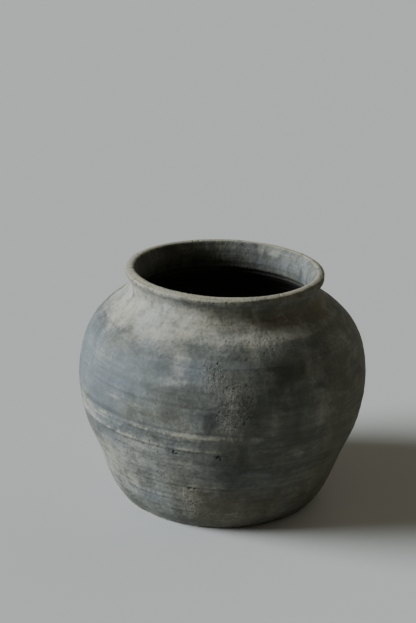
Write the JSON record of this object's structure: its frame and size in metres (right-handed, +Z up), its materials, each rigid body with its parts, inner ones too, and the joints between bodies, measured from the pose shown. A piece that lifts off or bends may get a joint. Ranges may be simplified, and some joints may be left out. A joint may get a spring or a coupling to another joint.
{
  "type": "round-bellied clay jar",
  "caption": "Round-bellied unglazed clay jar with a flat foot, low luted seams, a short neck and a rolled rim, open at the top.",
  "frame": {"origin": "centre of the flat underside, on the surface the jar stands on", "axes": "+Z up along the jar's axis through the middle of the mouth; +X and +Y are free because the jar is round"},
  "size_m": [0.3006, 0.3006, 0.246],
  "materials": {
    "foot_clay": "matte, brown-grey, rubbed at the edge",
    "lower_clay": "matte grey with a thin chalky wash and dark pits",
    "belly_clay": "matte blue-grey, wiped lengthways",
    "coil_clay": "matte blue-grey, pale where the ridge is rubbed",
    "upper_clay": "matte blue-grey, pitted in places",
    "shoulder_clay": "matte slate grey under a cream wash",
    "closing_clay": "matte, cream wash over grey, smoky under the neck",
    "neck_clay": "matte, smoky brown-grey",
    "rim_clay": "matte, worn pale beige"
  },
  "bodies": {
    "root": {"foot_slab": "foot_clay", "lower_wall": "lower_clay", "belly_wall": "belly_clay", "seam_coil": "coil_clay", "upper_wall": "upper_clay", "shoulder_wall": "shoulder_clay", "closing_ring": "closing_clay", "neck_collar": "neck_clay", "rim_roll": "rim_clay"}
  },
  "joints": []
}
